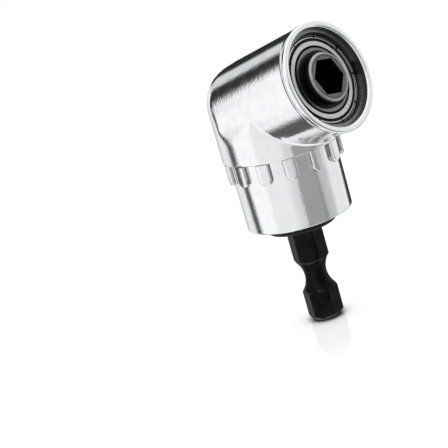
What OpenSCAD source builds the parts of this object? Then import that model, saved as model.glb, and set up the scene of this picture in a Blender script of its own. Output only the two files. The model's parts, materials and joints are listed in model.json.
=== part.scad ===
// Right angle drill attachment: a hexagonal shank drives a bevel gear pair
// that turns a hexagonal bit socket at 105 degrees to the shank.
// Z runs up the shank from its tip, X points to the side the socket faces.

/* [Head] */
// Angle between the shank and the bit socket, in degrees
head_angle = 105; // [100:1:108]
// Height of the crossing of the two axes above the sleeve's top
axis_rise = 8.4; // [8.3:0.05:9.2]
// Length of the plain bearing between the output gear and the ball bearing
bush_len = 1.93; // [1.7:0.01:3]
// Least wall of the barrel round the output bearing
barrel_wall = 1.05; // [0.9:0.05:2]
// Least wall of the flat cheeks round the sleeve's spigot
cheek_wall = 1.1; // [1:0.05:1.15]
// Distance that the barrel runs back past the crossing of the axes
barrel_back = 2; // [1.8:0.1:2.2]
// How far the raised rim round the mouth stands out of the barrel
rim_stand = 0.2; // [0.05:0.05:1]
// Width of the raised rim along the barrel
rim_w = 1.1; // [0.6:0.1:1.6]
// How far the skirt stands out past the locking lugs
skirt_stand = 0.33; // [0.2:0.01:1.5]
// Height of the dome's start above the crossing of the axes
dome_rise = 1.65; // [1.2:0.05:3]
// Radius of the rounding at the back of the elbow
dome_r = 8.2; // [7:0.1:8.6]
// Gap between the gears' teeth and the wall of the hollow that they turn in
chamber_gap = 0.42; // [0.35:0.01:0.8]
// Height of the hollow's roof above the crossing of the axes
chamber_rise = 1.65; // [0.5:0.05:2.5]

/* [Sleeve] */
// Wall of the sleeve's plain barrel round the shaft bearings
sleeve_wall = 2.5; // [2.3:0.1:3.2]
// Length of the sleeve below the head
sleeve_len = 14.05; // [14:0.05:15]
// Step from the bearings' seat out to the open end at the bottom
sleeve_mouth_step = 1.14; // [1.05:0.01:1.4]
// Depth of the bottom end's counterbore
sleeve_mouth_h = 1.1; // [0.9:0.05:1.1]
// Height of the lip that the upper bearing rests on
lip_h = 0.55; // [0.4:0.05:0.7]
// How far that lip reaches in over the bearing
lip_reach = 0.9; // [0.5:0.05:1]
// Height of the spigot that enters the head
spigot_h = 1.75; // [1.2:0.05:1.75]
// Wall of the spigot
spigot_wall = 1.5; // [1.2:0.1:1.6]
// Step from the bearings' seat in to the spigot's bore
spigot_step = 0.1; // [0:0.05:0.4]

/* [Locking lugs] */
// Number of lugs round the top of the sleeve
lug_count = 13; // [8:1:16]
// How far the lugs stand out of the sleeve
lug_stand = 1; // [0.5:0.1:1.2]
// Width of one lug
lug_w = 2.6; // [1.8:0.1:3]
// Height of one lug
lug_h = 4.15; // [3:0.05:5]
// Depth of the shallow relief that the lugs stand in
lug_relief = 0.2; // [0.17:0.01:0.25]

/* [Shank and shaft] */
// Width across the flats of the shank
shank_af = 6.35; // [6.25:0.05:6.5]
// Length of shank that stands out below the dust cap
shank_reach = 19.5; // [18:0.1:30]
// Height of the middle of the detent neck above the tip
neck_z = 9.3; // [8.5:0.1:10]
// Diameter of the detent neck
neck_d = 4.45; // [4.2:0.05:5]
// Radius of the neck's hollow curve
neck_curve_r = 4.9; // [4:0.1:6]
// Height of the chamfer at the tip
tip_chamfer_h = 1.1; // [0.5:0.1:1.5]
// Diameter of the flat end of the tip
tip_d = 5.1; // [4:0.1:6]
// How far the collar under the lower bearing stands out of the shaft
collar_stand = 0.9; // [0.5:0.1:1.1]
// Length of that collar
collar_h = 1.3; // [0.8:0.1:1.4]
// Step from the shaft in to its end inside the gear
shaft_tail_step = 0.6; // [0.5:0.05:0.8]
// Depth of the two flats on that end
shaft_flat_h = 0.5; // [0.3:0.05:0.7]
// Length of shaft that stands out of the gear
shaft_tail_reach = 1.1; // [1:0.05:1.2]

/* [Bevel gears] */
// Number of teeth on each gear
teeth = 16; // [16:1:16]
// Module of the teeth at their wide end
gear_module = 0.95; // [0.93:0.01:0.97]
// Length of the teeth
face_w = 2.8; // [2.2:0.1:3]
// Pressure angle of the teeth, in degrees
pressure_angle = 20; // [18:0.5:22]
// Play between meshing teeth
backlash = 0.12; // [0.08:0.01:0.2]
// Height of a tooth above the pitch line, in modules
addendum_share = 1;
// Depth of a tooth space below the pitch line, in modules
dedendum_share = 1.25;
// Thickness of the web behind the teeth
web_t = 1.4; // [1:0.05:1.5]
// Diameter of the hub on the input gear
input_hub_d = 10; // [9.6:0.1:10.4]
// Diameter of the hub on the output gear
output_hub_d = 11.9; // [11.6:0.05:12]

/* [Ball bearings] */
// Bore of the output bearing
nose_bore_d = 10; // [9.8:0.1:10.1]
// Space between its bore and its outside
nose_space = 4.5; // [4.4:0.05:4.6]
// Width of the output bearing
nose_w = 5; // [4.8:0.1:5.2]
// Diameter of its balls
nose_ball_d = 2.38; // [2.3:0.02:2.5]
// Number of its balls
nose_balls = 10; // [8:1:11]
// Bore of the two shaft bearings
shaft_bore_d = 8; // [7.8:0.1:8.1]
// Space between their bore and their outside
shaft_space = 4; // [3.9:0.05:4.1]
// Width of one shaft bearing
shaft_w = 5; // [4.8:0.1:5.2]
// Diameter of their balls
shaft_ball_d = 2; // [1.9:0.05:2.1]
// Number of balls in each of them
shaft_balls = 9; // [8:1:10]
// Space between the two shaft bearings
bearing_space = 1; // [0.8:0.1:1.4]
// Depth of a shield in its ring
shield_t = 0.5; // [0.3:0.05:0.6]
// Crimped notches round the edge of a shield
shield_notches = 9; // [6:1:12]

/* [Bit socket] */
// Width across the flats of the hexagonal hole
bit_af = 6.5; // [6.4:0.05:6.6]
// Depth of the hexagonal hole
bit_depth = 10; // [9:0.1:10.2]
// Step from the bearing's bore in to the socket's face
socket_step = 0.12; // [0.05:0.01:0.3]
// Distance of the socket's face behind the rim
socket_inset = 0.12; // [0.05:0.01:1]
// Diameter of the socket's end inside its gear
socket_tail_d = 8.6; // [8.4:0.1:8.8]
// Width over the two flats of that end
socket_tail_flats = 7.8; // [7.6:0.1:8]
// Distance from the crossing of the axes to the end of the tail
socket_tail_start = 4.4; // [4.3:0.05:4.6]
// Diameter of the magnet that holds the bit
magnet_d = 5; // [4:0.1:6]
// Thickness of the magnet
magnet_t = 2; // [1.5:0.1:2.2]

/* [Dust cap] */
// Height of the cap that stands out of the sleeve
cap_stand = 1.9; // [1:0.1:2.5]
// Diameter of the part that stands out
cap_d = 14; // [12:0.1:16]
// Thickness of the cap's flange
cap_flange_t = 0.65; // [0.5:0.05:0.7]
// Depth of the flange inside the sleeve's end
cap_inset = 0.4; // [0.2:0.05:0.4]
// Diameter of the cap's hole round the shank
cap_bore_d = 8.4; // [8:0.1:9]

/* [Retaining rings and shims] */
// Distance from the rim of the mouth to the output bearing
nose_recess = 2.05; // [1.4:0.05:2.2]
// Thickness of the snap ring in the mouth
nose_ring_t = 0.9; // [0.6:0.05:1]
// How far that ring reaches in over the bearing
nose_ring_reach = 0.65; // [0.5:0.05:0.8]
// Thickness of the ring under the shaft bearings
sleeve_ring_t = 0.9; // [0.6:0.05:1]
// How far that ring reaches in over the bearing
sleeve_ring_reach = 0.8; // [0.5:0.05:1]
// Depth of the grooves for both rings
ring_groove = 0.45; // [0.3:0.05:0.6]
// Thickness of the ring on the socket
socket_ring_t = 0.5; // [0.3:0.05:0.6]
// Thickness of the ring that holds the input gear
gear_ring_t = 0.5; // [0.4:0.05:0.5]
// How far both rings stand out of their shafts
shaft_ring_reach = 0.5; // [0.3:0.05:0.6]
// Depth of the shaft grooves for both rings
shaft_groove = 0.25; // [0.2:0.05:0.4]
// Thickness of the shims that set the gears
shim_t = 0.2; // [0.1:0.05:0.3]
// Width of a shim round its shaft
shim_w = 0.85; // [0.6:0.05:0.9]

/* [Fits] */
// Play between a ball and its grooves
ball_gap = 0.03; // [0.02:0.01:0.05]
// Play between a ball and its cage
pocket_gap = 0.06; // [0.04:0.01:0.1]
// Play between the output gear's hub and its bush
bush_gap = 0.05; // [0.03:0.01:0.1]
// Gap between turning and standing faces
run_gap = 0.25; // [0.2:0.01:0.4]
// Gap between fixed parts that push together
seat_gap = 0.05; // [0.03:0.01:0.1]
// Size of the small chamfers on edges
edge = 0.3; // [0.1:0.05:0.4]

/* [Hidden] */
$fn = 64;
overrun = 1;
tilt = head_angle - 90;
pitch_angle = head_angle / 2;

// Bearings as [bore, outside diameter, width, ball diameter]
nose_outer_d = nose_bore_d + 2 * nose_space;
shaft_outer_d = shaft_bore_d + 2 * shaft_space;
nose_bearing = [nose_bore_d, nose_outer_d, nose_w, nose_ball_d];
shaft_bearing = [shaft_bore_d, shaft_outer_d, shaft_w, shaft_ball_d];

// Diameters that follow from the bearings: the shaft and the socket, the sleeve from its
// bore outwards, the head round the sleeve and the output bearing, and the rings
collar_d = shaft_bore_d + 2 * collar_stand;
shaft_tail_d = shaft_bore_d - 2 * shaft_tail_step;
shaft_tail_flats = shaft_tail_d - 2 * shaft_flat_h;
socket_d = nose_bore_d - 2 * socket_step;
sleeve_d = shaft_outer_d + 2 * sleeve_wall;
sleeve_mouth_d = shaft_outer_d + 2 * sleeve_mouth_step;
lip_d = shaft_outer_d - 2 * lip_reach;
spigot_bore_d = shaft_outer_d - 2 * spigot_step;
spigot_d = spigot_bore_d + 2 * spigot_wall;
lug_d = sleeve_d + 2 * lug_stand;
skirt_d = lug_d + 2 * skirt_stand;
barrel_d = max(nose_outer_d + 2 * barrel_wall, spigot_d + 2 * cheek_wall);
rim_d = barrel_d + 2 * rim_stand;
nose_ring_bore_d = nose_outer_d - 2 * nose_ring_reach;
sleeve_ring_bore_d = shaft_outer_d - 2 * sleeve_ring_reach;
socket_ring_d = nose_bore_d + 2 * shaft_ring_reach;
gear_ring_d = shaft_tail_d + 2 * shaft_ring_reach;

// Heights along the shank
sleeve_z = shank_reach + cap_stand;
skirt_z = sleeve_z + sleeve_len;
lip_z = skirt_z - lip_h;
upper_z = lip_z - shaft_w;
lower_z = upper_z - bearing_space - shaft_w;
lug_z = skirt_z - lug_h - seat_gap;
axis_z = skirt_z + axis_rise;
dome_z = axis_z + dome_rise;

// Radii of the turned parts
barrel_r = barrel_d / 2;
skirt_r = skirt_d / 2;
sleeve_r = sleeve_d / 2;
nose_seat_r = nose_outer_d / 2;
shaft_seat_r = shaft_outer_d / 2;
socket_r = nose_bore_d / 2;
shaft_r = shaft_bore_d / 2;
shank_corner_r = shank_af / 2 / cos(30);
bit_corner_r = bit_af / 2 / cos(30);

// Bevel gear geometry, measured from the crossing of the axes
pitch_r = gear_module * teeth / 2;
cone_len = pitch_r / sin(pitch_angle);
back_r = pitch_r / cos(pitch_angle);
base_r = back_r * cos(pressure_angle);
tip_r = back_r + gear_module * addendum_share;
root_r = back_r - gear_module * dedendum_share;
chamber_r = tip_r * cos(pitch_angle) + chamber_gap;
core_gap = 0.04;
toe_share = (cone_len - face_w) / cone_len;
heel_z = cone_len / cos(pitch_angle) - root_r * sin(pitch_angle);
toe_z = heel_z * toe_share;
gear_back = heel_z + web_t;
flank_steps = 3;
half_tooth = (PI * gear_module / 2 - backlash) / 2 / back_r * 180 / PI;

// Places along the output axis, from the crossing of the axes
bush_s = gear_back + run_gap;
nose_bearing_s = bush_s + bush_len;
nose_len = nose_bearing_s + nose_w + nose_recess;
socket_face = nose_len - socket_inset;
bit_floor = socket_face - bit_depth;
hub_end = nose_bearing_s - shim_t;

// Turn of the shank's and the socket's hexagons and of the opening of the ring
// in the mouth, in degrees
shank_turn = 15;
socket_turn = 48;
nose_ring_turn = 85;

// Places of the rings and of the cap's flange, up the shank
sleeve_ring_z = lower_z - seat_gap - sleeve_ring_t;
cap_flange_z = sleeve_z + cap_inset;
cap_counterbore_r = collar_d / 2 + run_gap;
collar_z = lower_z - collar_h;

// Ball bearings: half the width of the bare lands as a share of the ball, the
// shields' seats and play, and the cages' half width and rim
land_share = 0.38;
shield_seat = 0.45;
shield_play = 0.2;
cage_half_w = 0.42;
cage_rim = 0.25;

// Shields: place of the pressed groove across the face, its size, and the notches' width
shield_band_share = 0.48;
shield_groove_w = 0.38;
shield_groove_h = 0.3;
notch_w = 0.3;

// Opening of the snap rings, and depth of the hollow in the bush
ring_open_w = 2.7;
bush_relief_h = 0.3;

// Helpers

// Places children along the output axis, from the crossing of the axes
module along_output(s = 0) {
    translate([0, 0, axis_z]) rotate([0, 90 - tilt, 0]) translate([0, 0, s]) children();
}

// Solid turned from a profile of [radius, height] points
module turned(points) {
    rotate_extrude() polygon(points);
}

// Plain ring
module tube(outer_r, inner_r, h) {
    difference() {
        cylinder(r = outer_r, h = h);
        translate([0, 0, -overrun]) cylinder(r = inner_r, h = h + 2 * overrun);
    }
}

// Ring of round section, lying flat at height 0
module torus(ring_r, section_r) {
    rotate_extrude() translate([ring_r, 0]) circle(r = section_r);
}

// Round bar with two flats
module two_flat_bar(d, flats, h) {
    intersection() {
        cylinder(d = d, h = h);
        translate([-flats / 2, -d, 0]) cube([flats, 2 * d, h]);
    }
}

// Open snap ring with a gap for the pliers
module snap_ring(outer_r, inner_r, h, gap) {
    difference() {
        tube(outer_r, inner_r, h);
        translate([0, -gap / 2, -overrun]) cube([2 * outer_r, gap, h + 2 * overrun]);
    }
}

// Ball bearings: b is [bore, outside diameter, width, ball diameter]

function race_r(b) = (b[0] + b[1]) / 4;
function inner_land_r(b) = race_r(b) - land_share * b[3];
function outer_land_r(b) = race_r(b) + land_share * b[3];

module bearing_outer(b) {
    difference() {
        tube(b[1] / 2, outer_land_r(b), b[2]);
        translate([0, 0, b[2] / 2]) torus(race_r(b), b[3] / 2 + ball_gap);
        for (z = [-overrun, b[2] - shield_t])
            translate([0, 0, z]) cylinder(r = outer_land_r(b) + shield_seat, h = shield_t + overrun);
    }
}

module bearing_inner(b) {
    difference() {
        tube(inner_land_r(b), b[0] / 2, b[2]);
        translate([0, 0, b[2] / 2]) torus(race_r(b), b[3] / 2 + ball_gap);
    }
}

module bearing_balls(b, count) {
    for (i = [0 : count - 1])
        rotate([0, 0, i * 360 / count]) translate([race_r(b), 0, b[2] / 2]) sphere(d = b[3]);
}

module bearing_cage(b, count) {
    half_h = b[3] / 2 + cage_rim;
    difference() {
        translate([0, 0, b[2] / 2 - half_h])
            tube(race_r(b) + cage_half_w, race_r(b) - cage_half_w, 2 * half_h);
        for (i = [0 : count - 1])
            rotate([0, 0, i * 360 / count])
                translate([race_r(b) - cage_half_w - overrun, 0, b[2] / 2]) rotate([0, 90, 0])
                    cylinder(d = b[3] + 2 * pocket_gap, h = 2 * (cage_half_w + overrun), $fn = 32);
    }
}

// Pressed shield with a raised inner band and a crimped, notched edge, its face up
module bearing_shield(b) {
    inner_r = inner_land_r(b) + shield_play;
    outer_r = outer_land_r(b) + shield_seat;
    band_r = inner_r + (outer_r - inner_r) * shield_band_share;
    difference() {
        tube(outer_r, inner_r, shield_t);
        translate([0, 0, shield_t - shield_groove_h])
            tube(band_r + shield_groove_w, band_r, shield_groove_h + overrun);
        for (i = [0 : shield_notches - 1])
            rotate([0, 0, i * 360 / shield_notches])
                translate([band_r, -notch_w / 2, shield_t - shield_groove_h])
                    cube([outer_r, notch_w, shield_groove_h + overrun]);
    }
}

module shield_pair(b) {
    translate([0, 0, b[2] - shield_t]) bearing_shield(b);
    translate([0, 0, shield_t]) rotate([180, 0, 0]) bearing_shield(b);
}

// Bevel gears: straight teeth, involute on the back cone, tapering to the crossing of the axes

// Half the angle of a tooth at radius r of the back cone's flat pattern
function involute_deg(r) =
    let (a = acos(min(1, base_r / r))) tan(a) * 180 / PI - a;
function tooth_half_deg(r) =
    half_tooth + involute_deg(back_r) - involute_deg(max(r, base_r));
function flank_radii() =
    concat([root_r], [for (i = [0 : flank_steps]) base_r + (tip_r - base_r) * i / flank_steps]);
function tooth_points() =
    let (radii = flank_radii(), last = len(radii) - 1)
    concat([for (i = [0 : last]) [radii[i], -tooth_half_deg(radii[i])]],
           [for (i = [last : -1 : 0]) [radii[i], tooth_half_deg(radii[i])]]);
// A point of the flat pattern, wrapped on the back cone round tooth number t
function on_back_cone(r, deg, t) =
    let (turn = deg / cos(pitch_angle) + t * 360 / teeth)
    [r * cos(pitch_angle) * cos(turn), r * cos(pitch_angle) * sin(turn),
     cone_len / cos(pitch_angle) - r * sin(pitch_angle)];
function gear_outline() =
    [for (t = [0 : teeth - 1]) for (p = tooth_points()) on_back_cone(p[0], p[1], t)];
function core_outline() =
    [for (t = [0 : teeth - 1]) for (p = tooth_points()) on_back_cone(root_r - core_gap, p[1], t)];
function strip(a, b, n) =
    [for (i = [0 : n - 1]) each [[a + i, a + (i + 1) % n, b + (i + 1) % n],
                                 [a + i, b + (i + 1) % n, b + i]]];

module bevel_teeth() {
    heel = gear_outline();
    core = core_outline();
    n = len(heel);
    points = concat(core, heel, heel * toe_share, core * toe_share,
                    [[0, 0, core[0][2]], [0, 0, core[0][2] * toe_share]]);
    faces = concat([for (i = [0 : n - 1]) [4 * n, (i + 1) % n, i]],
                   strip(0, n, n), strip(n, 2 * n, n), strip(2 * n, 3 * n, n),
                   [for (i = [0 : n - 1]) [4 * n + 1, 3 * n + i, 3 * n + (i + 1) % n]]);
    polyhedron(points = points, faces = faces, convexity = 8);
}

// A gear, its axis up and the crossing of the axes at the origin, its bore turned by bore_turn
module bevel_gear(hub_d, hub_top, bore_d, bore_flats, bore_turn = 0) {
    web_r = root_r * cos(pitch_angle) - core_gap;
    difference() {
        union() {
            bevel_teeth();
            translate([0, 0, heel_z]) cylinder(r = web_r, h = web_t);
            translate([0, 0, heel_z]) cylinder(d = hub_d, h = hub_top - heel_z);
        }
        translate([0, 0, -overrun]) rotate([0, 0, bore_turn])
            two_flat_bar(bore_d, bore_flats, hub_top + 2 * overrun);
    }
}

// Housing

// Skirt and elbow: a cylinder up the shank's axis with a rounded top
module elbow_blank() {
    flat_r = skirt_r - dome_r;
    rotate_extrude() {
        polygon([[0, skirt_z], [skirt_r - edge, skirt_z], [skirt_r, skirt_z + edge],
                 [skirt_r, dome_z], [0, dome_z]]);
        translate([0, dome_z]) square([flat_r, dome_r]);
        intersection() {
            translate([flat_r, dome_z]) circle(r = dome_r);
            translate([flat_r, dome_z]) square([dome_r, dome_r]);
        }
    }
}

// Outline of the elbow seen along the output axis: a round top on straight sides
module elbow_outline() {
    circle(r = barrel_r);
    translate([0, -barrel_r]) square([2 * skirt_d, barrel_d]);
}

module head_body() {
    intersection() {
        elbow_blank();
        along_output(-2 * skirt_d) linear_extrude(4 * skirt_d) elbow_outline();
    }
    along_output() turned([
        [0, -barrel_back], [barrel_r, -barrel_back], [barrel_r, nose_len - rim_w],
        [rim_d / 2, nose_len - rim_w + edge], [rim_d / 2, nose_len - edge],
        [rim_d / 2 - edge, nose_len], [0, nose_len]]);
}

module head_housing() {
    spigot_seat = spigot_d / 2 + seat_gap;
    color("gainsboro") difference() {
        head_body();
        translate([0, 0, skirt_z - skirt_d]) cylinder(r = skirt_d, h = skirt_d);
        along_output(bush_s) cylinder(r = nose_seat_r, h = nose_len);
        along_output(nose_len - edge) cylinder(r1 = nose_seat_r, r2 = nose_seat_r + 2 * edge, h = 2 * edge);
        along_output(nose_len - nose_recess)
            cylinder(r = nose_seat_r + ring_groove, h = nose_ring_t + seat_gap);
        along_output() cylinder(r = chamber_r, h = bush_s + overrun);
        translate([0, 0, skirt_z - overrun]) cylinder(r = chamber_r, h = axis_rise + chamber_rise + overrun);
        translate([0, 0, skirt_z - overrun]) cylinder(r = spigot_seat, h = spigot_h + edge + overrun);
    }
}

// One lug as seen from outside: straight sides and a round lower end
module lug_outline() {
    translate([0, lug_w / 2]) circle(d = lug_w);
    translate([-lug_w / 2, lug_w / 2]) square([lug_w, lug_h - lug_w / 2]);
}

module lug() {
    intersection() {
        translate([sleeve_r - edge, 0, lug_z]) rotate([90, 0, 90])
            linear_extrude(lug_d / 2) lug_outline();
        cylinder(d = lug_d, h = skirt_z);
    }
}

module grip_sleeve() {
    mouth_r = sleeve_mouth_d / 2;
    mouth_top = sleeve_z + sleeve_mouth_h;
    top = skirt_z + spigot_h;
    relief_r = sleeve_r - lug_relief;
    relief_z = lug_z - seat_gap;
    color("gainsboro") {
        difference() {
            turned([[mouth_r, sleeve_z], [sleeve_r - edge, sleeve_z], [sleeve_r, sleeve_z + edge],
                    [sleeve_r, relief_z], [relief_r, relief_z], [relief_r, skirt_z],
                    [spigot_d / 2, skirt_z], [spigot_d / 2, top], [spigot_bore_d / 2, top],
                    [spigot_bore_d / 2, skirt_z], [lip_d / 2, skirt_z], [lip_d / 2, lip_z],
                    [shaft_seat_r, lip_z], [shaft_seat_r, mouth_top], [mouth_r, mouth_top]]);
            translate([0, 0, sleeve_ring_z - seat_gap])
                cylinder(r = shaft_seat_r + ring_groove, h = sleeve_ring_t + 2 * seat_gap);
        }
        for (i = [0 : lug_count - 1])
            rotate([0, 0, 180 + i * 360 / lug_count]) lug();
    }
}

module dust_cap() {
    cap_r = cap_d / 2;
    flange_r = sleeve_mouth_d / 2 - seat_gap;
    flange_top = cap_flange_z + cap_flange_t;
    color("dimgray") difference() {
        turned([[cap_bore_d / 2, shank_reach], [cap_r - edge, shank_reach],
                [cap_r, shank_reach + edge], [cap_r, cap_flange_z], [flange_r, cap_flange_z],
                [flange_r, flange_top], [cap_bore_d / 2, flange_top]]);
        translate([0, 0, collar_z - run_gap]) cylinder(r = cap_counterbore_r, h = cap_flange_t + overrun);
    }
}

module sleeve_snap_ring() {
    color("darkslategray") translate([0, 0, sleeve_ring_z])
        snap_ring(shaft_seat_r + ring_groove - seat_gap, sleeve_ring_bore_d / 2, sleeve_ring_t, ring_open_w);
}

module nose_snap_ring() {
    color("darkslategray") along_output(nose_len - nose_recess) rotate([0, 0, nose_ring_turn])
        snap_ring(nose_seat_r + ring_groove - seat_gap, nose_ring_bore_d / 2, nose_ring_t, ring_open_w);
}

// Input side

module hex_shank() {
    neck_ring_r = neck_d / 2 + neck_curve_r;
    clear_r = shank_corner_r + edge;
    clear_z = tip_chamfer_h * (clear_r - tip_d / 2) / (shank_corner_r - tip_d / 2);
    difference() {
        intersection() {
            rotate([0, 0, shank_turn]) cylinder(r = shank_corner_r, h = collar_z, $fn = 6);
            turned([[0, 0], [tip_d / 2, 0], [clear_r, clear_z], [clear_r, collar_z], [0, collar_z]]);
        }
        translate([0, 0, neck_z]) torus(neck_ring_r, neck_curve_r);
    }
}

module input_shaft() {
    gear_top_z = axis_z - toe_z;
    tail_z = axis_z - gear_back;
    hub_z = lip_z + shim_t;
    color("dimgray") difference() {
        union() {
            hex_shank();
            turned([[0, collar_z], [collar_d / 2 - edge, collar_z], [collar_d / 2, collar_z + edge],
                    [collar_d / 2, lower_z], [shaft_r, lower_z], [shaft_r, hub_z], [0, hub_z]]);
            translate([0, 0, hub_z])
                two_flat_bar(shaft_tail_d, shaft_tail_flats, gear_top_z + shaft_tail_reach - hub_z);
        }
        translate([0, 0, gear_top_z])
            tube(shaft_tail_d, shaft_tail_d / 2 - shaft_groove, gear_ring_t + seat_gap);
    }
}

module input_gear() {
    hub_top = axis_z - lip_z - shim_t;
    color("slategray") translate([0, 0, axis_z]) rotate([180, 0, 0])
        bevel_gear(input_hub_d, hub_top, shaft_tail_d, shaft_tail_flats);
}

module input_gear_ring() {
    color("darkslategray") translate([0, 0, axis_z - toe_z])
        snap_ring(gear_ring_d / 2, shaft_tail_d / 2 - shaft_groove, gear_ring_t, ring_open_w / 2);
}

module input_shim() {
    color("silver") translate([0, 0, lip_z]) tube(shaft_r + shim_w, shaft_r, shim_t);
}

module lower_outer_ring() {
    color("lightsteelblue") translate([0, 0, lower_z]) bearing_outer(shaft_bearing);
}

module lower_inner_ring() {
    color("lightsteelblue") translate([0, 0, lower_z]) bearing_inner(shaft_bearing);
}

module lower_balls() {
    color("white") translate([0, 0, lower_z]) bearing_balls(shaft_bearing, shaft_balls);
}

module lower_cage() {
    color("goldenrod") translate([0, 0, lower_z]) bearing_cage(shaft_bearing, shaft_balls);
}

module lower_shields() {
    color("silver") translate([0, 0, lower_z]) shield_pair(shaft_bearing);
}

module upper_outer_ring() {
    color("lightsteelblue") translate([0, 0, upper_z]) bearing_outer(shaft_bearing);
}

module upper_inner_ring() {
    color("lightsteelblue") translate([0, 0, upper_z]) bearing_inner(shaft_bearing);
}

module upper_balls() {
    color("white") translate([0, 0, upper_z]) bearing_balls(shaft_bearing, shaft_balls);
}

module upper_cage() {
    color("goldenrod") translate([0, 0, upper_z]) bearing_cage(shaft_bearing, shaft_balls);
}

module upper_shields() {
    color("silver") translate([0, 0, upper_z]) shield_pair(shaft_bearing);
}

module outer_spacer() {
    color("silver") translate([0, 0, lower_z + shaft_w])
        tube(shaft_seat_r, outer_land_r(shaft_bearing) + shield_seat, bearing_space);
}

module inner_spacer() {
    color("silver") translate([0, 0, lower_z + shaft_w])
        tube(inner_land_r(shaft_bearing), shaft_r, bearing_space);
}

// Output side

module output_socket() {
    ring_s = nose_len - nose_recess;
    color("dimgray") along_output() difference() {
        union() {
            translate([0, 0, socket_tail_start]) rotate([0, 0, socket_turn])
                two_flat_bar(socket_tail_d, socket_tail_flats, hub_end - socket_tail_start);
            translate([0, 0, hub_end]) cylinder(r = socket_r, h = ring_s - hub_end);
            turned([[0, ring_s], [socket_d / 2, ring_s], [socket_d / 2, socket_face - edge],
                    [socket_d / 2 - edge, socket_face], [0, socket_face]]);
        }
        rotate([0, 0, socket_turn]) translate([0, 0, bit_floor])
            rotate([0, 0, 30]) cylinder(r = bit_corner_r, h = bit_depth + overrun, $fn = 6);
        translate([0, 0, bit_floor - magnet_t]) cylinder(d = magnet_d, h = magnet_t + overrun);
        translate([0, 0, socket_face - edge / 2])
            cylinder(r1 = bit_af / 2, r2 = bit_corner_r + edge, h = edge);
        translate([0, 0, ring_s]) tube(socket_d, socket_r - shaft_groove, socket_ring_t + seat_gap);
    }
}

module output_gear() {
    mesh_turn = 180 / teeth;
    color("slategray") along_output() rotate([0, 0, mesh_turn])
        bevel_gear(output_hub_d, hub_end, socket_tail_d, socket_tail_flats, socket_turn - mesh_turn);
}

module output_shim() {
    color("silver") along_output(hub_end) tube(socket_r + shim_w, socket_r, shim_t);
}

module socket_ring() {
    color("darkslategray") along_output(nose_len - nose_recess) rotate([0, 0, 90])
        snap_ring(socket_ring_d / 2, socket_r - shaft_groove, socket_ring_t, ring_open_w / 2);
}

module bit_magnet() {
    color("silver") along_output(bit_floor - magnet_t) cylinder(d = magnet_d, h = magnet_t);
}

// Plain bearing behind the ball bearing, hollowed where the turning ring faces it
module output_bush() {
    color("peru") along_output(bush_s) difference() {
        tube(nose_seat_r, output_hub_d / 2 + bush_gap, nose_bearing_s - bush_s);
        translate([0, 0, nose_bearing_s - bush_s - bush_relief_h])
            cylinder(r = outer_land_r(nose_bearing), h = bush_relief_h + overrun);
    }
}

module nose_outer_ring() {
    color("lightsteelblue") along_output(nose_bearing_s) bearing_outer(nose_bearing);
}

module nose_inner_ring() {
    color("lightsteelblue") along_output(nose_bearing_s) bearing_inner(nose_bearing);
}

module nose_balls() {
    color("white") along_output(nose_bearing_s) bearing_balls(nose_bearing, nose_balls);
}

module nose_cage() {
    color("goldenrod") along_output(nose_bearing_s) bearing_cage(nose_bearing, nose_balls);
}

module nose_front_shield() {
    color("silver") along_output(nose_len - nose_recess - shield_t) bearing_shield(nose_bearing);
}

module nose_rear_shield() {
    color("silver") along_output(nose_bearing_s + shield_t) rotate([180, 0, 0]) bearing_shield(nose_bearing);
}

head_housing();
grip_sleeve();
dust_cap();
sleeve_snap_ring();
nose_snap_ring();
input_shaft();
input_gear();
input_gear_ring();
input_shim();
lower_outer_ring();
lower_inner_ring();
lower_balls();
lower_cage();
lower_shields();
upper_outer_ring();
upper_inner_ring();
upper_balls();
upper_cage();
upper_shields();
outer_spacer();
inner_spacer();
output_socket();
output_gear();
output_shim();
socket_ring();
bit_magnet();
output_bush();
nose_outer_ring();
nose_inner_ring();
nose_balls();
nose_cage();
nose_front_shield();
nose_rear_shield();
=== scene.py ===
# Looks of a right angle drill attachment: plated head and sleeve, black hexagonal
# shank, and the ball bearing and bit socket that show in the head's mouth.
# Shapes are worked out in millimetres and scaled to metres when a mesh is made.

import json
import math

import bmesh
import bpy
import numpy as np
from mathutils import Matrix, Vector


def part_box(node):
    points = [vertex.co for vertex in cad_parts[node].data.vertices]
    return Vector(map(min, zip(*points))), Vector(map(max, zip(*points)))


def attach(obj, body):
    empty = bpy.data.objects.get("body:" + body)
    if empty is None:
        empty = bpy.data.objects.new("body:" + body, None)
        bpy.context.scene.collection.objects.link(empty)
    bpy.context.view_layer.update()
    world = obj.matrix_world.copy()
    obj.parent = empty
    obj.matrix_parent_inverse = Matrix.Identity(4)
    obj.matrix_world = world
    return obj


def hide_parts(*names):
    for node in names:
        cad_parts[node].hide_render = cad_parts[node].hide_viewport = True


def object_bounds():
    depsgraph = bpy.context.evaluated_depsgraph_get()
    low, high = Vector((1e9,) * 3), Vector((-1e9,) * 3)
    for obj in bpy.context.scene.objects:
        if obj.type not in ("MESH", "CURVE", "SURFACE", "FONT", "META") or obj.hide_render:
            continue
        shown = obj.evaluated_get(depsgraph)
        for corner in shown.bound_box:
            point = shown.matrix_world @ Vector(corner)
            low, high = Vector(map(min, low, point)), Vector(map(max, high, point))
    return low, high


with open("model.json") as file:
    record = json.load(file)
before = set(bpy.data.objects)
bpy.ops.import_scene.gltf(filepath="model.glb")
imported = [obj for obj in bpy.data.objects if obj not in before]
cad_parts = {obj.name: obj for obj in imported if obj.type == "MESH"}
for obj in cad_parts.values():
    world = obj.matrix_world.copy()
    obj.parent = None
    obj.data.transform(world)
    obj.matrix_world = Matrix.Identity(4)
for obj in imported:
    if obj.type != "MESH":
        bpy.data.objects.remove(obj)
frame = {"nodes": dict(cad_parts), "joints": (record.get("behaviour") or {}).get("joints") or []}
cad_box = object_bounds()

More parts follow.
